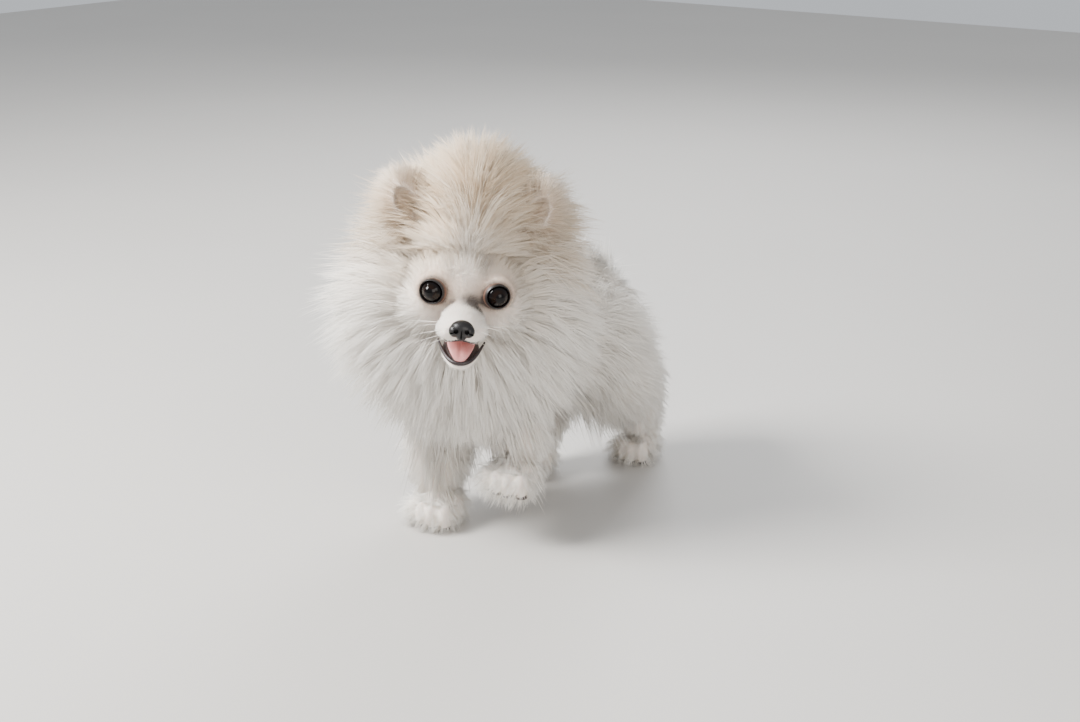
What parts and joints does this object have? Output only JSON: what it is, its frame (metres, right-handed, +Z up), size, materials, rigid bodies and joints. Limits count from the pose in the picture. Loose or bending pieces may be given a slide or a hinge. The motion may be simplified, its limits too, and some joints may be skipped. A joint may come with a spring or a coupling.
{
  "type": "pomeranian puppy model",
  "caption": "Life-size still model of a young cream-white pomeranian in mid-step, one forefoot lifted, head turned to its left, mouth a little open.",
  "frame": {"origin": "middle of the footprint of the whole model, on the floor", "axes": "-Y the way the body faces, +X the dog's left side, +Z up"},
  "size_m": [0.1684, 0.2854, 0.2869],
  "materials": {
    "coat": "long soft cream-white coat, warmer beige on the crown and in the undercoat",
    "paw": "short white coat of the feet, ears and chin",
    "tongue": "moist pink skin",
    "nose": "moist black nose skin",
    "eye": "wet, nearly black brown eye"
  },
  "bodies": {
    "root": {"head": "coat", "neck": "coat", "torso": "coat", "hindquarters": "coat", "tail": "coat", "front_leg_right": "coat", "front_leg_left": "coat", "hind_leg_right": "coat", "hind_leg_left": "coat", "front_paw_right": "paw", "front_paw_left": "paw", "hind_paw_right": "paw", "hind_paw_left": "paw", "ear_left": "paw", "ear_right": "paw", "lower_jaw": "paw", "tongue": "tongue", "nose": "nose", "eye_left": "eye", "eye_right": "eye"}
  },
  "joints": []
}
